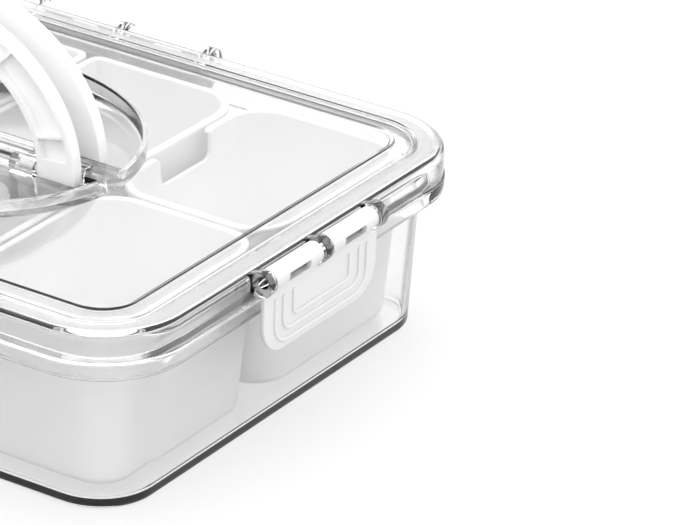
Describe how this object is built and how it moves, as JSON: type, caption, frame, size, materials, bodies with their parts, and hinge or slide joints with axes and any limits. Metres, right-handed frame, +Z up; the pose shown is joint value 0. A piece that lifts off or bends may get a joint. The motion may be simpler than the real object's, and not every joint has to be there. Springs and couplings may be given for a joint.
{
  "type": "parts organizer",
  "caption": "Clear rectangular box with rounded corners, snap-latched lid, two folding handles and lift-out white bins.",
  "frame": {"origin": "centre of the overall box at the level of the surface the tub stands on", "axes": "+X along the long side, +Z up, -Y towards the front long side"},
  "size_m": [0.3856, 0.2726, 0.1436],
  "materials": {
    "clear_tub": "clear, polished",
    "clear_lid": "clear, polished",
    "clear_seal": "translucent silicone",
    "white_handle": "satin moulded",
    "white_latch": "satin moulded",
    "white_bin": "satin moulded"
  },
  "bodies": {
    "tub": {"tub": "clear_tub"},
    "lid": {"lid": "clear_lid", "seal": "clear_seal"},
    "handle_front": {"handle_front": "white_handle"},
    "handle_rear": {"handle_rear": "white_handle"},
    "latch_right": {"latch_right": "white_latch"},
    "latch_rear": {"latch_rear": "white_latch"},
    "latch_left": {"latch_left": "white_latch"},
    "latch_front": {"latch_front": "white_latch"},
    "bin_front_1": {"bin_front_1": "white_bin"},
    "bin_front_2": {"bin_front_2": "white_bin"},
    "bin_front_3": {"bin_front_3": "white_bin"},
    "bin_front_4": {"bin_front_4": "white_bin"},
    "bin_rear_1": {"bin_rear_1": "white_bin"},
    "bin_rear_2": {"bin_rear_2": "white_bin"},
    "bin_rear_3": {"bin_rear_3": "white_bin"},
    "bin_rear_4": {"bin_rear_4": "white_bin"}
  },
  "joints": [
    {"name": "lid_lift", "type": "slide", "parent": "tub", "child": "lid", "axis": [0, 0, 1], "range_m": [0, 0.15]},
    {"name": "bin_front_1_lift", "type": "slide", "parent": "tub", "child": "bin_front_1", "axis": [0, 0, 1], "range_m": [0, 0.076]},
    {"name": "bin_front_2_lift", "type": "slide", "parent": "tub", "child": "bin_front_2", "axis": [0, 0, 1], "range_m": [0, 0.076]},
    {"name": "bin_front_3_lift", "type": "slide", "parent": "tub", "child": "bin_front_3", "axis": [0, 0, 1], "range_m": [0, 0.076]},
    {"name": "bin_front_4_lift", "type": "slide", "parent": "tub", "child": "bin_front_4", "axis": [0, 0, 1], "range_m": [0, 0.076]},
    {"name": "bin_rear_1_lift", "type": "slide", "parent": "tub", "child": "bin_rear_1", "axis": [0, 0, 1], "range_m": [0, 0.076]},
    {"name": "bin_rear_2_lift", "type": "slide", "parent": "tub", "child": "bin_rear_2", "axis": [0, 0, 1], "range_m": [0, 0.076]},
    {"name": "bin_rear_3_lift", "type": "slide", "parent": "tub", "child": "bin_rear_3", "axis": [0, 0, 1], "range_m": [0, 0.076]},
    {"name": "bin_rear_4_lift", "type": "slide", "parent": "tub", "child": "bin_rear_4", "axis": [0, 0, 1], "range_m": [0, 0.076]},
    {"name": "latch_right_flip", "type": "hinge", "parent": "lid", "child": "latch_right", "pos_m": [0.1872, 0, 0.0782], "axis": [0, -1, 0], "range_deg": [0, 135]},
    {"name": "latch_rear_flip", "type": "hinge", "parent": "lid", "child": "latch_rear", "pos_m": [0, 0.1307, 0.0764], "axis": [1, 0, 0], "range_deg": [0, 135]},
    {"name": "latch_left_flip", "type": "hinge", "parent": "lid", "child": "latch_left", "pos_m": [-0.1872, 0, 0.0782], "axis": [0, 1, 0], "range_deg": [0, 135]},
    {"name": "latch_front_flip", "type": "hinge", "parent": "lid", "child": "latch_front", "pos_m": [0, -0.1307, 0.0764], "axis": [-1, 0, 0], "range_deg": [0, 135]},
    {"name": "handle_front_fold", "type": "hinge", "parent": "lid", "child": "handle_front", "pos_m": [0, -0.0095, 0.0801], "axis": [1, 0, 0], "range_deg": [0, 90]},
    {"name": "handle_rear_fold", "type": "hinge", "parent": "lid", "child": "handle_rear", "pos_m": [0, 0.0095, 0.0801], "axis": [-1, 0, 0], "range_deg": [0, 90]}
  ],
  "couplings": [
    {"joint": "bin_front_1_lift", "follows": "lid_lift", "ratio": 0.5},
    {"joint": "bin_front_2_lift", "follows": "lid_lift", "ratio": 0.5},
    {"joint": "bin_front_3_lift", "follows": "lid_lift", "ratio": 0.5},
    {"joint": "bin_front_4_lift", "follows": "lid_lift", "ratio": 0.5},
    {"joint": "bin_rear_1_lift", "follows": "lid_lift", "ratio": 0.5},
    {"joint": "bin_rear_2_lift", "follows": "lid_lift", "ratio": 0.5},
    {"joint": "bin_rear_3_lift", "follows": "lid_lift", "ratio": 0.5},
    {"joint": "bin_rear_4_lift", "follows": "lid_lift", "ratio": 0.5}
  ]
}
